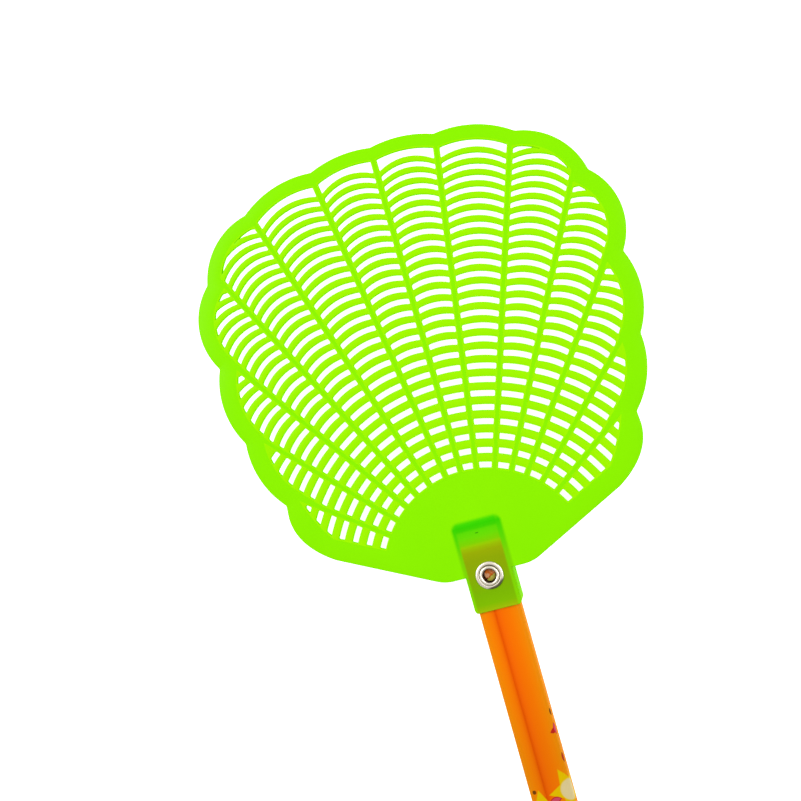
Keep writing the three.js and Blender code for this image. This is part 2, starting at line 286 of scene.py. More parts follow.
def cell(column):
    """The recess behind one column's slats, a little larger all round than its openings."""
    inner = FIRST_ROW_RADIUS - OPENING_HEIGHT / 2 - CELL_MARGIN
    left, right = column_side(column, inner, RIB_CREST / 2)
    points = [polar(left + (right - left) * step / CELL_STEPS, inner) for step in range(CELL_STEPS + 1)]
    far_left, far_right = column_side(column, FAR, RIB_CREST / 2)
    points += [polar(far_right, FAR), polar(far_left, FAR)]
    return rounded(tidied(clipped(points, rim_arc(column, RIM_MARGIN))), CELL_ROUND)


# ---- Closed shells from outlines ----------------------------------------------------------
class Shell:
    """Collects rings of points, walls between rings and flat caps, as one closed mesh."""

    def __init__(self, place):
        self.place = place
        self.points = []
        self.faces = []
        self.finish = 0
        self.finishes = []

    def ring(self, outline, level, grow=0.0):
        """Adds an outline at a level, moved sideways by grow. Outlines run anticlockwise."""
        start = len(self.points)
        count = len(outline)
        for i, here in enumerate(outline):
            along = outline[(i + 1) % count] - outline[i - 1]
            outward = Vector((along.y, -along.x)).normalized()
            spot = here + outward * grow
            self.points.append((spot.x, spot.y, level))
        return list(range(start, start + count))

    def face(self, corners):
        self.faces.append(corners)
        self.finishes.append(self.finish)

    def wall(self, lower, upper):
        count = len(lower)
        for i in range(count):
            j = (i + 1) % count
            self.face((lower[i], lower[j], upper[j], upper[i]))

    def walls(self, rings):
        for lower, upper in zip(rings, rings[1:]):
            self.wall(lower, upper)

    def cap(self, outer, holes=(), up=True):
        """Fills the space between an outer ring and the rings of its holes, on one level."""
        used = []
        loops = []
        for ring in (outer, *holes):
            loops.append(range(len(used), len(used) + len(ring)))
            used += ring
        flat = [Vector(self.points[index][:2]) for index in used]
        made = delaunay_2d_cdt(flat, [], [list(loop) for loop in loops], 1, 1e-7)
        for triangle, inside in zip(made[2], made[5]):
            if inside == [0]:
                face = [used[made[3][i][0]] for i in triangle]
                self.face(face if up else face[::-1])

    def object(self, name, sharp_above=SHARP_ABOVE):
        mesh = bpy.data.meshes.new(name)
        mesh.from_pydata([self.place(*p) for p in self.points], [], self.faces)
        mesh.polygons.foreach_set("material_index", self.finishes)
        mesh.validate()
        made = bpy.data.objects.new(name, mesh)
        bpy.context.scene.collection.objects.link(made)
        smooth(made, sharp_above)
        return made


def smooth(piece, degrees):
    """Shades a piece smooth, but for edges that turn by more than these degrees."""
    piece.data.polygons.foreach_set("use_smooth", [True] * len(piece.data.polygons))
    piece.data.set_sharp_from_angle(angle=math.radians(degrees))


def anticlockwise(points):
    area = sum(a.x * b.y - b.x * a.y for a, b in zip(points, points[1:] + points[:1]))
    return points if area > 0 else points[::-1]


def in_head(x, y, z):
    return (x * MM, (y + EYELET_Y) * MM, z * MM)


def round_steps(radius, steps=3):
    """(inset, drop) pairs down a quarter round edge, from the flat face to the side."""
    turns = [math.pi / 2 * step / steps for step in range(steps + 1)]
    return [(radius * (1 - math.sin(turn)), radius * (1 - math.cos(turn))) for turn in turns]


def on_half(points, side):
    """An outline of the right half, or its mirror image for side -1, anticlockwise."""
    return anticlockwise(points if side > 0 else mirrored(points))


def blade_plate():
    """The blade with its openings, and on its back a recess behind the slats of each column."""
    shell = Shell(in_head)
    outline = anticlockwise(blade_outline())
    slat_back = BACK_Z + SLAT_RECESS
    edge = round_steps(EDGE_ROUND)
    slot_edge = round_steps(OPENING_EDGE, 2)
    recess_edge = round_steps(RECESS_EDGE, 2)
    rings = [shell.ring(outline, FRONT_Z - drop, -inset) for inset, drop in edge]
    rings += [shell.ring(outline, BACK_Z + drop, -inset) for inset, drop in edge[::-1]]
    shell.walls(rings[::-1])
    front_borders = []
    back_borders = []
    for side in (1, -1):
        for column, rows in enumerate(ROWS_PER_COLUMN):
            front_slots = []
            back_slots = []
            for row in range(rows):
                points = on_half(opening(column, row), side)
                slot = [shell.ring(points, FRONT_Z - drop, inset) for inset, drop in slot_edge]
                slot += [shell.ring(points, slat_back + drop, inset) for inset, drop in slot_edge[::-1]]
                shell.walls(slot)
                front_slots.append(slot[0])
                back_slots.append(slot[-1])
            recess = on_half(cell(column), side)
            foot = shell.ring(recess, slat_back)
            crest = [shell.ring(recess, BACK_Z + drop, inset) for inset, drop in recess_edge[::-1]]
            shell.walls([foot] + crest)
            border = shell.ring(recess, FRONT_Z)
            shell.finish = SLAT_FINISH
            shell.cap(foot, back_slots, up=False)
            shell.cap(border, front_slots)
            shell.finish = 0
            front_borders.append(border)
            back_borders.append(crest[-1])
    shell.cap(rings[0], front_borders)
    shell.cap(rings[-1], back_borders, up=False)
    return shell.object("moulded_head")


def rounded_rectangle(width, depth, corner, steps=6):
    """An anticlockwise outline about the origin."""
    points = []
    for quarter, (side, face) in enumerate([(1, 1), (-1, 1), (-1, -1), (1, -1)]):
        middle = Vector((side * (width / 2 - corner), face * (depth / 2 - corner)))
        for step in range(steps + 1):
            turn = (quarter + step / steps) * math.pi / 2
            points.append(middle + corner * towards(turn))
    return points


def circle(radius, steps, centre=(0, 0)):
    return [Vector(centre) + radius * towards(math.tau * step / steps) for step in range(steps)]


def along_handle(x, z, level):
    """Places a section drawn in X and Z; its level runs from the blade towards the cap."""
    return in_head(x, -level, AXIS_Z + z)


def bar(name, width, depth, corner, far_end, near_end, side_round=0.0, face_round=0.0):
    """A bar along Y from far_end down to near_end, its ends rounded off towards sides and faces."""
    shell = Shell(along_handle)
    reach = max(side_round, face_round, 0.01)
    turns = [math.pi / 2 * step / BAR_END_STEPS for step in range(BAR_END_STEPS + 1)]
    steps = [reach * (1 - math.cos(turn)) for turn in turns]

    def section(depth_in):
        trims = []
        for radius in (side_round, face_round):
            into = max(0.0, radius - depth_in)
            trims.append(radius - math.sqrt(max(0.0, radius * radius - into * into)))
        left_over = max(corner - max(trims), 0.05)
        return rounded_rectangle(width - 2 * trims[0], depth - 2 * trims[1], left_over)

    rings = [shell.ring(section(step), -far_end + step) for step in steps]
    rings += [shell.ring(section(step), -near_end - step) for step in reversed(steps)]
    shell.walls(rings)
    shell.cap(rings[0], up=False)
    shell.cap(rings[-1])
    return shell.object(name)


def combine(piece, tool, operation):
    """Joins the tool to a piece or cuts it away, as the operation says, and removes the tool."""
    modifier = piece.modifiers.new("combine", "BOOLEAN")
    modifier.operation = operation
    modifier.solver = "MANIFOLD"
    modifier.object = tool
    bpy.context.view_layer.update()
    shaped = piece.evaluated_get(bpy.context.evaluated_depsgraph_get())
    mesh = bpy.data.meshes.new_from_object(shaped)
    mesh.name = piece.name
    piece.modifiers.clear()
    piece.data = mesh
    bpy.data.objects.remove(tool)


def cut_eyelet_hole(piece):
    """Drills the eyelet's hole through a piece and hands the piece back."""
    shell = Shell(in_head)
    low, high = [shell.ring(circle(EYELET_HOLE_RADIUS, HOLE_STEPS), level) for level in (-1, FRONT_Z + 1)]
    shell.wall(low, high)
    shell.cap(low, up=False)
    shell.cap(high)
    combine(piece, shell.object("drill"), "DIFFERENCE")
    smooth(piece, SHARP_ABOVE)
    return piece


def moulded_head(finishes):
    """Blade and socket are one moulding: the socket is a hollow block behind the plate."""
    head = blade_plate()
    for finish in finishes:
        head.data.materials.append(finish)
    rounds = (SOCKET_SIDE_ROUND, SOCKET_FACE_ROUND)
    block = bar("block", SOCKET_WIDTH, SOCKET_DEPTH, SOCKET_CORNER, SOCKET_TOP, SOCKET_MOUTH, *rounds)
    pocket_width = HANDLE_WIDTH + 2 * SOCKET_SIDE_PLAY
    pocket_depth = HANDLE_DEPTH + 2 * SOCKET_FACE_PLAY
    pocket_top = SOCKET_TOP - SOCKET_END_WALL
    pocket = bar("pocket", pocket_width, pocket_depth, POCKET_CORNER, pocket_top, SOCKET_MOUTH - 1)
    combine(head, block, "UNION")
    combine(head, pocket, "DIFFERENCE")
    return cut_eyelet_hole(head)


def film_outline(inset, lap):
    """The film's section, with its raised lap on the front face."""
    corner = HANDLE_CORNER - inset
    points = rounded_rectangle(HANDLE_WIDTH - 2 * inset, HANDLE_DEPTH - 2 * inset, corner)
    front = HANDLE_DEPTH / 2 - inset
    raised = [Vector((x, front + lap * share)) for x, share in LAP_SLOPE + LAP_END]
    quarter = len(points) // 4
    return points[:quarter] + raised + points[quarter:]


def handle_film():
    shell = Shell(along_handle)
    outside = [shell.ring(film_outline(0, LAP_HEIGHT), level) for level in (-HANDLE_TOP, -HANDLE_END)]
    inside = [shell.ring(film_outline(FILM, 0), level) for level in (-HANDLE_END, -HANDLE_TOP)]
    shell.walls([*outside, *inside, outside[0]])
    return cut_eyelet_hole(shell.object("printed_film"))


def handle_core():
    trim = FILM + FILM_GAP
    width, depth, corner = HANDLE_WIDTH - 2 * trim, HANDLE_DEPTH - 2 * trim, HANDLE_CORNER - trim
    stick = bar("wooden_stick", width, depth, corner, HANDLE_TOP, HANDLE_END, STICK_ROUND, STICK_ROUND)
    return cut_eyelet_hole(stick)


# ---- Eyelet, washer and what the eyelet punched out ---------------------------------------
BORE_RADIUS = 1.95
BARREL_RADIUS = 2.3
FLANGE_RADIUS = 4
FLANGE_HEIGHT = 0.78
CURL_RADIUS = 0.5
CURL_BASE = eyelet_high.z / MM - CURL_RADIUS
FLANGE_FILLET = 0.2
LIP_ROUND = 0.6
WASHER_RADIUS = (washer_high.x - washer_low.x) / 2 / MM
WASHER_TOP = washer_high.z / MM
WASHER_EDGE = 0.06
WASHER_SEAT = 0.45
WASHER_SEAT_EDGE = 0.25
WASHER_STEPS = 12
# The washer's dome follows this part of a half wave; the fullness steepens its sides.
DOME_START = 0.06
DOME_SPAN = 0.86
DOME_FULLNESS = 0.45
TURNED_SHARP_ABOVE = 50
GROOVE_INNER = BORE_RADIUS + 2 * CURL_RADIUS - 0.08
GROOVE_OUTER = GROOVE_INNER + 0.24
TURN_STEPS = 96


def turned(name, profile):
    """A turned piece about the eyelet's axis, from a closed anticlockwise profile of (radius, z)."""
    shell = Shell(in_head)
    rings = [shell.ring(circle(radius, TURN_STEPS), z) for radius, z in profile]
    shell.walls([*rings, rings[0]])
    return shell.object(name, TURNED_SHARP_ABOVE)


def arc(centre, radius, start, end, steps):
    """Points on an arc between two angles in degrees."""
    turns = [math.radians(start + (end - start) * step / steps) for step in range(steps + 1)]
    return [(centre[0] + radius * math.cos(turn), centre[1] + radius * math.sin(turn)) for turn in turns]


def eyelet():
    """Behind, a rounded flange; through the stack, the barrel; in front, its end rolled over."""
    curl_middle = BORE_RADIUS + CURL_RADIUS
    bead = FLANGE_HEIGHT / 2
    profile = arc((FLANGE_RADIUS - bead, bead), bead, -90, 90, 10)
    fillet = (BARREL_RADIUS + FLANGE_FILLET, FLANGE_HEIGHT + FLANGE_FILLET)
    profile += arc(fillet, FLANGE_FILLET, 270, 180, 4)
    profile += [(BARREL_RADIUS, CURL_BASE)]
    profile += arc((curl_middle, CURL_BASE), CURL_RADIUS, 0, 180, 14)
    profile += arc((BORE_RADIUS + LIP_ROUND, LIP_ROUND), LIP_ROUND, 180, 270, 6)
    return turned("eyelet_tube", profile)


def washer():
    """A ring that swells from its thin outer edge and dips again towards the eyelet's barrel."""
    inner = EYELET_HOLE_RADIUS
    height = WASHER_TOP - FRONT_Z
    crown = height - WASHER_EDGE
    profile = [(inner, FRONT_Z), (WASHER_RADIUS - WASHER_EDGE, FRONT_Z)]
    profile += [(WASHER_RADIUS, FRONT_Z + WASHER_EDGE)]
    for step in range(1, WASHER_STEPS + 1):
        share = step / WASHER_STEPS
        radius = WASHER_RADIUS + (inner + WASHER_SEAT - WASHER_RADIUS) * share
        swell = math.sin(math.pi * (DOME_START + share * DOME_SPAN)) ** DOME_FULLNESS
        profile.append((radius, FRONT_Z + WASHER_EDGE + crown * swell))
    profile += [(inner + WASHER_SEAT_EDGE, FRONT_Z + height * 0.55), (inner, FRONT_Z + height / 2)]
    return turned("domed_washer", profile)


PLUG_STEPS = 48
PLUG_TEAR = 0.06
PLUG_EDGE = 0.15
# Rings from the plug's rim to its middle: share of its radius, depth below its highest point.
PLUG_TOP = [(0.99, 0.3), (0.95, 0.14), (0.86, 0.04), (0.7, 0), (0.5, 0.02), (0.25, 0.08)]
PLUG_SIDE_TOP = 0.5
PLUG_SHARP_ABOVE = 60


def ragged(radius, steps, amount):
    """A circle with a slightly torn edge."""
    tears = [random.uniform(-amount, 0) for _ in range(steps)]
    soft = [(tears[i - 1] + 2 * tears[i] + tears[(i + 1) % steps]) / 4 for i in range(steps)]
    return [p * (1 + tear) for p, tear in zip(circle(radius, steps), soft)]


def punched_plug():
    """The disc of film and wood, its top bulging a little between its torn edges."""
    shell = Shell(in_head)
    outline = ragged((plug_high.x - plug_low.x) / 2 / MM, PLUG_STEPS, PLUG_TEAR)
    low, high = plug_low.z / MM, plug_high.z / MM
    rings = [shell.ring(outline, low + PLUG_EDGE, -PLUG_EDGE)]
    rings += [shell.ring(outline, level) for level in (low + 2 * PLUG_EDGE, high - PLUG_SIDE_TOP)]
    for share, sink in PLUG_TOP:
        rings.append(shell.ring([p * share for p in outline], high - sink))
    shell.walls(rings)
    shell.cap(rings[0], up=False)
    shell.cap(rings[-1])
    return shell.object("punched_disc", PLUG_SHARP_ABOVE)


CHIP_RADIUS = 1.75
CHIP_DIRECTION = -61
CHIP_CHORD = 0.5
RIM_STEPS = 22
BREAK_STEPS = 9
BREAK_TEAR = (-0.14, 0.1)
CHIP_TOP = [(1, 0.2), (0.96, 0.06), (0.88, 0)]
CHIP_SHARP_ABOVE = 50


def punched_chip():
    """The broken half disc of the socket's front wall, lying on the plug."""
    shell = Shell(in_head)
    half = math.degrees(math.acos(CHIP_CHORD / CHIP_RADIUS))
    rim = arc((0, 0), CHIP_RADIUS, CHIP_DIRECTION - half, CHIP_DIRECTION + half, RIM_STEPS)
    start, end = Vector(rim[-1]), Vector(rim[0])
    across = (end - start).normalized()
    inwards = Vector((-across.y, across.x))
    broken = []
    for step in range(1, BREAK_STEPS):
        broken.append(start.lerp(end, step / BREAK_STEPS) + inwards * random.uniform(*BREAK_TEAR))
    outline = anticlockwise([Vector(p) for p in rim] + broken)
    middle = sum(outline, Vector((0, 0))) / len(outline)
    low, high = chip_low.z / MM, chip_high.z / MM
    rings = [shell.ring(outline, low)]
    for share, drop in CHIP_TOP:
        rings.append(shell.ring([middle.lerp(p, share) for p in outline], high - drop))
    shell.walls(rings)
    shell.cap(rings[0], up=False)
    shell.cap(rings[-1])
    return shell.object("punched_half_disc", CHIP_SHARP_ABOVE)


# ---- End cap ------------------------------------------------------------------------------
def hanging_tab(root):
    """The flat tab from the cap's end up to root, with its hole, whose edges are rounded less."""
    shell = Shell(in_head)
    radius = CAP_WIDTH / 2
    outline = [Vector(p) for p in arc((0, CAP_END + radius), radius, 180, 360, TAB_END_STEPS)]
    outline += [Vector((radius, root)), Vector((-radius, root))]
    hole = circle(HANG_HOLE_RADIUS, HANG_HOLE_STEPS, (0, CAP_END + HANG_HOLE_FROM_END))
    high, low = AXIS_Z + TAB_DEPTH / 2, AXIS_Z - TAB_DEPTH / 2
    edge = round_steps(CAP_ROUND, 6)
    down = [(inset, high - drop) for inset, drop in edge]
    down += [(inset, low + drop) for inset, drop in edge[::-1]]
    outer = [shell.ring(outline, level, -inset) for inset, level in down]
    inner = [shell.ring(hole, level, inset * HANG_HOLE_ROUND) for inset, level in down]
    shell.walls(outer[::-1])
    shell.walls(inner)
    shell.cap(outer[0], [inner[0]])
    shell.cap(outer[-1], [inner[-1]], up=False)
    return shell.object("tab")


def end_cap():
    body_start = CAP_END + TAB_LENGTH
    rounds = (CAP_ROUND, CAP_ROUND)
    cap = bar("end_cap_moulding", CAP_WIDTH, CAP_DEPTH, CAP_CORNER, CAP_MOUTH, body_start, *rounds)
    pocket_width = HANDLE_WIDTH + 2 * CAP_PLAY
    pocket_depth = HANDLE_DEPTH + 2 * (CAP_PLAY + LAP_HEIGHT)
    pocket_end = CAP_MOUTH - CAP_POCKET
    pocket = bar("pocket", pocket_width, pocket_depth, HANDLE_CORNER, CAP_MOUTH + 1, pocket_end)
    combine(cap, hanging_tab(body_start + 2), "UNION")
    combine(cap, pocket, "DIFFERENCE")
    smooth(cap, SHARP_ABOVE)
    return cap


# ---- Materials ----------------------------------------------------------------------------
# In the light set up at the end, a surface that faces up shows this many times its base colour.
LIGHT_ON_FRONT = 1.3
BRIGHTEST = 0.95
WHITE = (1, 1, 1, 1)


def linear(tone):
    """The linear share of light for an sRGB tone of 0 to 255."""
    share = tone / 255
    return share / 12.92 if share <= 0.04045 else ((share + 0.055) / 1.055) ** 2.4


def finish_colour(*tones):
    """The base colour of a surface that shows these sRGB tones when it faces up."""
    return (*[min(BRIGHTEST, linear(tone) / LIGHT_ON_FRONT) for tone in tones], 1)


class Finish:
    """A Principled material and short calls for its nodes.

    place, x, y and z are positions in millimetres from the eyelet's centre on the floor.
    """

    def __init__(self, name, **constants):
        self.material = bpy.data.materials.new(name)
        self.material.use_nodes = True
        self.tree = self.material.node_tree
        self.shader = self.tree.nodes["Principled BSDF"]
        for socket, value in constants.items():
            self.shader.inputs[socket.replace("_", " ")].default_value = value
        place = self.node("ShaderNodeTexCoord").outputs["Object"]
        origin = (0, EYELET_Y * MM, 0)
        self.place = self.vector("SCALE", self.vector("SUBTRACT", place, origin), Scale=1 / MM)
        apart = self.node("ShaderNodeSeparateXYZ", Vector=self.place)
        self.x, self.y, self.z = apart.outputs

    def node(self, kind, settings=(), **inputs):
        made = self.tree.nodes.new(kind)
        for key, value in dict(settings).items():
            setattr(made, key, value)
        for name, value in inputs.items():
            self.feed(made.inputs[name], value)
        return made

    def feed(self, socket, value):
        if isinstance(value, bpy.types.NodeSocket):
            self.tree.links.new(value, socket)
        else:
            socket.default_value = value

    def math(self, operation, *values):
        made = self.node("ShaderNodeMath", {"operation": operation})
        for socket, value in zip(made.inputs, values):
            self.feed(socket, value)
        return made.outputs[0]

    def vector(self, operation, *values, **inputs):
        made = self.node("ShaderNodeVectorMath", {"operation": operation}, **inputs)
        for socket, value in zip(made.inputs, values):
            self.feed(socket, value)
        gives_number = operation in ("LENGTH", "DOT_PRODUCT")
        return made.outputs["Value" if gives_number else "Vector"]

    def step(self, value, low, high):
        """0 below low and 1 above high, smoothly; low may be the larger one."""
        settings = {"interpolation_type": "SMOOTHSTEP"}
        made = self.node("ShaderNodeMapRange", settings, Value=value)
        made.inputs["From Min"].default_value = low
        made.inputs["From Max"].default_value = high
        return made.outputs["Result"]

    def within(self, value, low, high, blur):
        """1 between low and high, fading over blur at both."""
        rising = self.step(value, low - blur / 2, low + blur / 2)
        falling = self.step(value, high + blur / 2, high - blur / 2)
        return self.math("MULTIPLY", rising, falling)

    def noise(self, scale, detail=2.0, stretch=(1, 1, 1), roughness=0.5):
        spot = self.vector("MULTIPLY", self.place, stretch)
        made = self.node("ShaderNodeTexNoise", Vector=spot, Scale=scale, Detail=detail, Roughness=roughness)
        return made.outputs["Fac"]

    def mix(self, share, first, second, blend="MIX"):
        made = self.node("ShaderNodeMix", {"data_type": "RGBA", "blend_type": blend})
        self.feed(made.inputs[0], share)
        self.feed(made.inputs[6], first)
        self.feed(made.inputs[7], second)
        return made.outputs[2]

    def ramp(self, value, low, high, tones):
        """Colours between two values, from a dict of value: sRGB tones."""
        share = self.math("DIVIDE", self.math("SUBTRACT", value, low), high - low)
        made = self.node("ShaderNodeValToRGB", Fac=share)
        elements = made.color_ramp.elements
        spots = sorted(tones)
        while len(elements) < len(spots):
            elements.new(0.5)
        for element, spot in zip(elements, spots):
            element.position = (spot - low) / (high - low)
        for element, spot in zip(elements, spots):
            element.color = finish_colour(*tones[spot])
        return made.outputs["Color"]

    def between(self, value, low, high):
        """Maps a 0 to 1 value onto a range."""
        return self.math("MULTIPLY_ADD", value, high - low, low)

    def bump(self, height, distance):
        """Relief whose height is 0 to 1 times the distance in millimetres."""
        made = self.node("ShaderNodeBump", Height=height, Distance=distance * MM, Strength=1.0)
        self.feed(self.shader.inputs["Normal"], made.outputs["Normal"])

    def colour(self, value):
        self.feed(self.shader.inputs["Base Color"], value)

    def roughness(self, value):
        self.feed(self.shader.inputs["Roughness"], value)


LIME_SURFACE = {"IOR": 1.46, "Specular_IOR_Level": 0, "Coat_Weight": 0.05, "Coat_Roughness": 0.25}


def moulded_grain(lime):
    """The fine grain and slow swell of a moulded surface."""
    grain = lime.noise(2.2, 4)
    lime.roughness(lime.between(grain, 0.34, 0.46))
    swell = lime.noise(0.11, 2)
    lime.bump(lime.math("ADD", lime.math("MULTIPLY", grain, 0.12), swell), 0.06)


def lime_slats():
    """The slats are thinner than the rim and the ribs, so they let more light through."""
    lime = Finish("lime_slats", **LIME_SURFACE)
    cloud = lime.noise(0.09, 3)
    lime.colour(lime.mix(cloud, finish_colour(155, 245, 0), finish_colour(165, 247, 0)))
    moulded_grain(lime)
    return lime.material


# The handle and the hollow as they show through the socket's front wall, with painted shade where the
# handle and the thick walls hold back light.
HANDLE_SEEN = (-6.2, 5.9)
HOLLOW_MIDDLE = 0.1
HOLLOW_HALF_WIDTH = 5.2
HOLLOW_TOP = 14.8
HOLLOW_ROUND = (2.8, 1.6)
GATE_ACROSS = (-0.75, 0.15)
GATE_ALONG = (12.75, 13.05)
HEAD_ENDS = (-20, -19)
ALONG_SOCKET = (-11, 18)
# Tones along the socket, in front of the handle and beside it, by distance above the eyelet.
OVER_HANDLE = {
    -10.2: (165, 195, 12), -9.4: (150, 188, 5), -8: (128, 188, 2), -5: (123, 182, 3), -2: (128, 176, 4),
    2: (138, 169, 5), 5: (142, 168, 5), 7.5: (152, 173, 4), 8.8: (154, 190, 3), 9.5: (150, 206, 3),
    10.2: (126, 211, 2), 12: (106, 221, 4), 13.6: (92, 221, 3), 14.3: (64, 212, 1), 15.3: (52, 212, 0),
    16.1: (64, 219, 2), 17.4: (118, 236, 1),
}
BESIDE_HANDLE = {
    -10.2: (140, 218, 6), -6: (130, 216, 2), 0: (128, 214, 4), 6: (122, 212, 4), 10: (95, 218, 2),
    13: (78, 218, 2), 15.2: (56, 213, 0), 17.4: (118, 236, 1),
}


def over_hollow(lime):
    """1 over the socket's hollow, whose upper corners are rounded, and 0 on all other lime plastic."""
    offset = lime.math("ABSOLUTE", lime.math("SUBTRACT", lime.x, HOLLOW_MIDDLE))
    beside = lime.math("MAXIMUM", lime.math("SUBTRACT", offset, HOLLOW_HALF_WIDTH), 0)
    above = lime.math("MAXIMUM", lime.math("SUBTRACT", lime.y, HOLLOW_TOP), 0)
    corner = lime.vector("LENGTH", lime.node("ShaderNodeCombineXYZ", X=beside, Y=above).outputs[0])
    return lime.math("MULTIPLY", lime.step(corner, *HOLLOW_ROUND), lime.step(lime.y, *HEAD_ENDS))


def lime_plastic():
    """Translucent lime plastic. What lies behind the socket's walls is painted as it shows through, with
    painted shade where less light passes.
    """
    lime = Finish("lime_plastic", **LIME_SURFACE)
    cloud = lime.noise(0.05, 3)
    colour = lime.mix(cloud, finish_colour(136, 242, 0), finish_colour(145, 244, 0))
    # Tones of what shows through the wall, darkened as painted shade where less light passes the plastic.
    centre = lime.ramp(lime.y, *ALONG_SOCKET, OVER_HANDLE)
    sides = lime.ramp(lime.y, *ALONG_SOCKET, BESIDE_HANDLE)
    behind = lime.mix(lime.within(lime.x, *HANDLE_SEEN, 0.7), sides, centre)
    colour = lime.mix(over_hollow(lime), colour, behind)
    across, along = lime.within(lime.x, *GATE_ACROSS, 0.3), lime.within(lime.y, *GATE_ALONG, 0.2)
    lime.colour(lime.mix(lime.math("MULTIPLY", across, along), colour, finish_colour(58, 160, 4)))
    moulded_grain(lime)
    return lime.material


YELLOW = (238, 192, 0)
CREAM = (232, 206, 150)
RED = (196, 40, 28)
PINK = (214, 76, 100)
BROWN = (120, 66, 14)
PRINT_START = -40
PRINT_REPEAT = 50
# Half the turn from one of a star's tips to the next, in degrees.
HALF_POINT = 36
STAR_HOLLOW = 0.5
MARK_HEART = 0.45
LEAF_BORDER = 0.15
# Each mark is a kind, its place around and along the film, its size, its turn, and its two colours.
PRINT = [
    ("leaf", 7.1, 2.9, 1.2, 100, BROWN, BROWN),
    ("leaf", 6.1, 8.3, 1.5, 17, RED, RED),
    ("leaf", 7.1, 7.9, 1.9, 97, RED, PINK),
    ("leaf", 7.2, 16.6, 1.6, 100, BROWN, RED),
    ("star", 6.2, 25.9, 6.9, 111, YELLOW, CREAM),
    ("leaf", 0.9, 28.0, 1.9, 5, RED, PINK),
    ("dot", -4.9, 24.6, 0.6, 0, BROWN, BROWN),
    ("star", -3.4, 31.2, 7.0, 92, YELLOW, CREAM),
    ("leaf", 2.2, 37.0, 2.6, 60, RED, PINK),
    ("dot", 5.0, 38.5, 0.8, 0, BROWN, RED),
    ("star", 10.5, 41.0, 4.6, 20, CREAM, PINK),
    ("leaf", -1.2, 43.6, 2.2, 130, RED, PINK),
    ("dot", -9.5, 14.5, 1.2, 0, RED, CREAM),
    ("star", -10.2, 5.8, 3.6, 50, YELLOW, CREAM),
    ("leaf", -9.8, 43.5, 2.4, 80, RED, PINK),
    ("star", 15.6, 11.0, 4.6, 30, YELLOW, CREAM),
    ("leaf", -15.8, 19.5, 2.4, 60, RED, PINK),
    ("dot", 16.8, 24.0, 1.0, 0, BROWN, RED),
    ("star", -15.2, 33.0, 5.0, 75, YELLOW, CREAM),
    ("leaf", 14.6, 31.5, 2.2, 140, RED, PINK),
    ("dot", -17.0, 44.0, 0.9, 0, RED, CREAM),
]


def printed(film, colour, sheet, mark):
    """Lays one printed mark over the colour. The sheet holds places around and along the film."""
    kind, around, along, size, turn, outer, inner = mark
    spot = film.node("ShaderNodeMapping", {"vector_type": "TEXTURE"}, Vector=sheet)
    spot.inputs["Location"].default_value = (around, -along, 0)
    spot.inputs["Rotation"].default_value = (0, 0, math.radians(turn))
    spot.inputs["Scale"].default_value = (size, size, 1)
    across, up, _ = film.node("ShaderNodeSeparateXYZ", Vector=spot.outputs[0]).outputs
    reach = film.vector("LENGTH", spot.outputs[0])
    heart = film.math("SUBTRACT", MARK_HEART, reach)
    if kind == "star":
        # A straight side runs from the tip at 1 to a hollow half a point's turn away.
        turn = film.math("PINGPONG", film.math("ARCTAN2", up, across), math.radians(HALF_POINT))
        hollow = polar(90 - HALF_POINT, STAR_HOLLOW)
        fall = film.math("MULTIPLY", film.math("SINE", turn), 1 - hollow.x)
        side = film.math("MULTIPLY_ADD", film.math("COSINE", turn), hollow.y, fall)
        edge = film.math("DIVIDE", hollow.y, side)
        inside = film.math("SUBTRACT", edge, reach)
    elif kind == "leaf":
        belly = film.math("MULTIPLY_ADD", film.math("MULTIPLY", across, across), -0.5, 0.5)
        inside = film.math("SUBTRACT", belly, film.math("ABSOLUTE", up))
        heart = film.math("SUBTRACT", inside, LEAF_BORDER)
    else:
        inside = film.math("SUBTRACT", 1.0, reach)
    tone = film.mix(film.step(heart, -0.04, 0.04), finish_colour(*outer), finish_colour(*inner))
    return film.mix(film.step(inside, -0.03, 0.03), colour, tone)


FILM_SURFACE = {"IOR": 1.5, "Specular_IOR_Level": 0, "Coat_Weight": 0.06, "Coat_Roughness": 0.15}
FILM_SIDES = (-6.3, 6.3)
# Tones across the film's front, by distance from its middle line; the paler tones towards its sides are
# painted highlights on its rounded corners.
ACROSS_FILM = {
    -6.3: (236, 144, 18), -5.6: (244, 138, 7), -4.2: (251, 132, 3), -2.9: (250, 122, 3),
    -2.1: (246, 109, 2), -1.6: (237, 90, 0), -1.2: (239, 91, 0), -0.8: (247, 100, 3), -0.2: (251, 107, 4),
    1: (252, 115, 2), 2.5: (252, 121, 2), 4.3: (249, 131, 3), 5.5: (245, 140, 6), 6.3: (238, 144, 14),
}
# Further down the handle the film takes this tint of painted shade, from none to all of it.
FILM_SHADE_TINT = (0.85, 0.92, 0.9, 1)
FILM_SHADE_ALONG = (-15, -75)


def film_sheet(film):
    """Places round and along the film's outside, as on the flat sheet before it was wrapped.

    Round runs along the front from its middle, then down a side, then back along the rear face.
    """
    depth = film.math("SUBTRACT", film_high.z / MM, film.z)
    beside = film.math("ABSOLUTE", film.x)
    on_rear = film.step(depth, HANDLE_DEPTH - HANDLE_CORNER, HANDLE_DEPTH)
    inwards = film.math("MULTIPLY_ADD", beside, -2.0, HANDLE_WIDTH)
    way = film.math("ADD", beside, film.math("MULTIPLY_ADD", inwards, on_rear, depth))
    around = film.math("MULTIPLY", film.math("SIGN", film.x), way)
    along = film.math("MODULO", film.math("SUBTRACT", PRINT_START, film.y), PRINT_REPEAT)
    down = film.math("MULTIPLY", along, -1.0)
    return film.node("ShaderNodeCombineXYZ", X=around, Y=down).outputs[0]


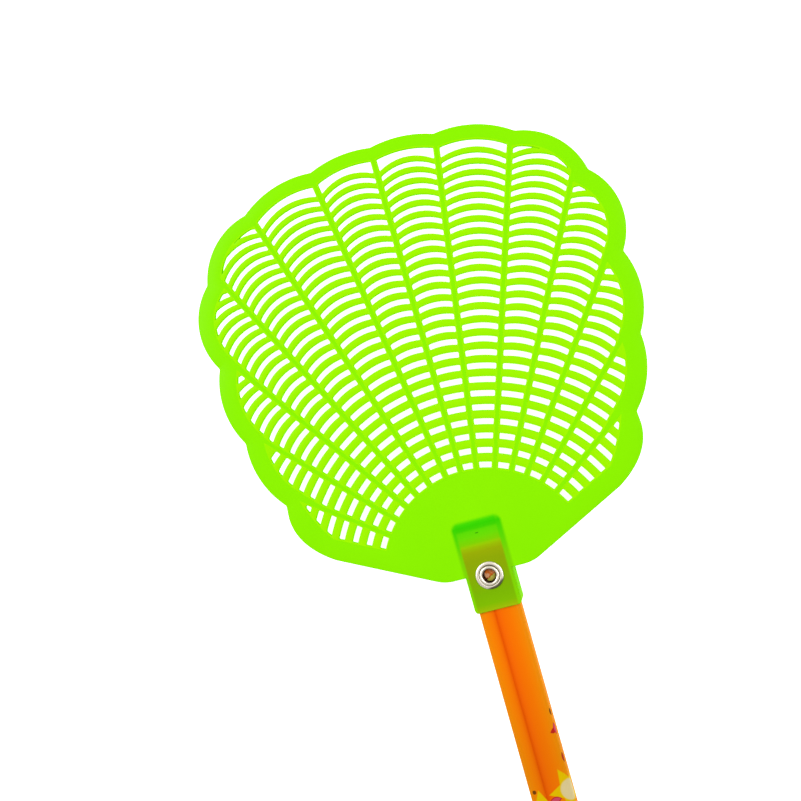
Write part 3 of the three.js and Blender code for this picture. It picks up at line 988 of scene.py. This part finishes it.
def orange_film():
    """Orange shrink film: pale towards its corners with painted highlights, darker along its lap, printed
    further down, and darkened down the handle by painted shade.
    """
    film = Finish("orange_film", **FILM_SURFACE)
    # Painted highlights make the front paler towards its rounded corners.
    across = film.ramp(film.x, *FILM_SIDES, ACROSS_FILM)
    on_front = film.step(film.z, AXIS_Z - 1, AXIS_Z + 1)
    colour = film.mix(on_front, finish_colour(240, 138, 14), across)
    sheet = film_sheet(film)
    print_colour = colour
    for mark in PRINT:
        print_colour = printed(film, print_colour, sheet, mark)
    colour = film.mix(film.step(film.y, PRINT_START + 0.3, PRINT_START - 0.3), colour, print_colour)
    cloud = film.noise(0.08, 3, (1, 0.3, 1))
    # Painted shade that deepens down the handle, mottled by a cloud.
    shade_share = film.math("MULTIPLY_ADD", cloud, 0.3, film.step(film.y, *FILM_SHADE_ALONG))
    film.colour(film.mix(1.0, colour, film.mix(shade_share, WHITE, FILM_SHADE_TINT), "MULTIPLY"))
    film.roughness(film.between(film.noise(0.8, 3), 0.28, 0.45))
    film.bump(film.noise(0.5, 3, (1, 0.15, 1)), 0.03)
    return film.material


def pale_wood():
    """Bare wood with its grain along the stick."""
    wood = Finish("pale_wood", Roughness=0.7)
    grain = wood.noise(0.9, 6, (1, 0.02, 1), 0.65)
    wood.colour(wood.mix(grain, (0.55, 0.38, 0.2, 1), (0.78, 0.62, 0.4, 1)))
    wood.roughness(wood.between(grain, 0.6, 0.85))
    wood.bump(grain, 0.08)
    return wood.material


# Colours of painted shade on the metal: in the groove, down the bore and on the flange's lower edge.
GROOVE_SHADE = (0.1, 0.07, 0.04, 1)
BORE_SHADE = (0.05, 0.02, 0.008, 1)
EDGE_SHADE_COLOUR = (0.09, 0.09, 0.02, 1)
EDGE_SHADE_TOWARDS = (0.38, -0.92, 0)


def nickel():
    """Plated metal, with painted shade in the groove, down the bore and along one lower edge."""
    metal = Finish("nickel", Metallic=1.0)
    colour = metal.mix(metal.noise(0.6, 3), (0.86, 0.77, 0.62, 1), (0.92, 0.85, 0.74, 1))
    flat = metal.vector("MULTIPLY", metal.place, (1, 1, 0))
    reach = metal.vector("LENGTH", flat)
    # Painted shade in the groove where the washer dips under the rolled curl.
    groove = metal.within(reach, GROOVE_INNER, GROOVE_OUTER, 0.12)
    colour = metal.mix(metal.math("MULTIPLY", groove, 0.85), colour, GROOVE_SHADE)
    # Painted shade down the bore.
    bore = metal.step(reach, BORE_RADIUS + 0.22, BORE_RADIUS + 0.04)
    colour = metal.mix(metal.math("MULTIPLY", bore, 0.9), colour, BORE_SHADE)
    # A painted shadow on the flange's outer edge, on its lower right side.
    low_right = metal.vector("DOT_PRODUCT", flat, EDGE_SHADE_TOWARDS)
    edge_shade = metal.math("MULTIPLY", metal.step(low_right, 2.5, 3.3), metal.within(reach, 3.35, 4.4, 0.35))
    colour = metal.mix(metal.math("MULTIPLY", edge_shade, 0.9), colour, EDGE_SHADE_COLOUR)
    metal.colour(colour)
    scratches = metal.noise(3.5, 4, (1, 0.25, 1), 0.6)
    metal.roughness(metal.between(scratches, 0.33, 0.43))
    metal.bump(scratches, 0.003)
    return metal.material


# The plug's film shows down to these depths below its top, fading from one to the other.
PLUG_FILM = (0.6, 0.35)


def punched_stack():
    """The punched plug: film on top, wood below."""
    stack = Finish("punched_film_and_wood", Roughness=0.5, Specular_IOR_Level=0.1)
    top = stack.step(stack.z, *[plug_high.z / MM - depth for depth in PLUG_FILM])
    grain = stack.noise(1.8, 4)
    blotch = stack.step(stack.noise(0.9, 2), 0.42, 0.6)
    film = stack.mix(blotch, finish_colour(250, 122, 24), finish_colour(255, 190, 138))
    stack.colour(stack.mix(top, (0.6, 0.42, 0.24, 1), film))
    stack.bump(grain, 0.1)
    return stack.material


def bruised_lime():
    """The chip of the socket's wall, whitened and browned by the punch."""
    chip = Finish("bruised_lime", Roughness=0.5, Specular_IOR_Level=0.1)
    stain = chip.noise(1.3, 3)
    chip.colour(chip.mix(stain, finish_colour(150, 140, 34), finish_colour(196, 192, 84)))
    chip.bump(stain, 0.08)
    return chip.material


lime, slats, film_paint, wood = lime_plastic(), lime_slats(), orange_film(), pale_wood()
metal, stack, chip = nickel(), punched_stack(), bruised_lime()


def install(piece, material, slot, *nodes):
    """Gives a piece its material, keeping any further ones it has, and ties it to the frame."""
    if not piece.data.materials:
        piece.data.materials.append(material)
    piece.data.materials[0] = material
    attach(piece, "root")
    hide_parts(*nodes)


install(moulded_head([lime, slats]), lime, "lime_plastic", "blade", "socket")
install(handle_film(), film_paint, "orange_film", "handle_film")
install(handle_core(), wood, "pale_wood", "handle_core")
install(eyelet(), metal, "nickel", "eyelet")
install(washer(), metal, "nickel", "eyelet_washer")
install(punched_plug(), stack, "orange_film", "punched_plug")
install(punched_chip(), chip, "lime_plastic", "punched_chip")
install(end_cap(), lime, "lime_plastic", "end_cap")


# ---- Floor, light and camera --------------------------------------------------------------
def floor():
    """A wide white table that glows a little, so that it stays white under the swatter."""
    mesh = bpy.data.meshes.new("floor")
    reach = 30
    corners = [(-reach, -reach, 0), (reach, -reach, 0), (reach, reach, 0), (-reach, reach, 0)]
    mesh.from_pydata(corners, [], [(0, 1, 2, 3)])
    made = bpy.data.objects.new("floor", mesh)
    bpy.context.scene.collection.objects.link(made)
    paper = bpy.data.materials.new("white_table")
    paper.use_nodes = True
    shader = paper.node_tree.nodes["Principled BSDF"]
    shader.inputs["Base Color"].default_value = (0.9, 0.9, 0.9, 1)
    shader.inputs["Roughness"].default_value = 0.9
    shader.inputs["Specular IOR Level"].default_value = 0.1
    shader.inputs["Emission Color"].default_value = (1, 1, 0.97, 1)
    shader.inputs["Emission Strength"].default_value = 0.85
    mesh.materials.append(paper)


def soft_light(name, place, target, size, power):
    """A round lamp aimed at the target: sizes in metres, power in watts."""
    light = bpy.data.lights.new(name, "AREA")
    light.shape = "DISK"
    light.size = size
    light.energy = power
    made = bpy.data.objects.new(name, light)
    made.location = place
    made.rotation_euler = (Vector(target) - Vector(place)).to_track_quat("-Z", "Y").to_euler()
    bpy.context.scene.collection.objects.link(made)


floor()
head_middle = Vector((0, (blade_low.y + blade_high.y) / 2, 0))
soft_light("left_light", head_middle + Vector((-0.9, 0.5, 1.0)), head_middle, size=1.0, power=14)
soft_light("right_light", head_middle + Vector((0.9, 0.1, 1.1)), head_middle, size=1.0, power=12)

world = bpy.data.worlds.new("studio")
world.use_nodes = True
world.node_tree.nodes["Background"].inputs["Color"].default_value = (1, 1, 1, 1)
world.node_tree.nodes["Background"].inputs["Strength"].default_value = 0.5
scene = bpy.context.scene
scene.world = world
scene.view_settings.view_transform = "Standard"

# The camera stands and looks as fitted to the photograph.
camera = bpy.data.objects.new("camera", bpy.data.cameras.new("camera"))
scene.collection.objects.link(camera)
scene.camera = camera
camera.data.lens = 53.93
camera.data.sensor_width = 36
camera.location = Vector((46, 52.7 + EYELET_Y, 345.9 + FRONT_Z)) * MM
camera.rotation_euler = [math.radians(a) for a in (-2.07, 9.2, -15.88)]
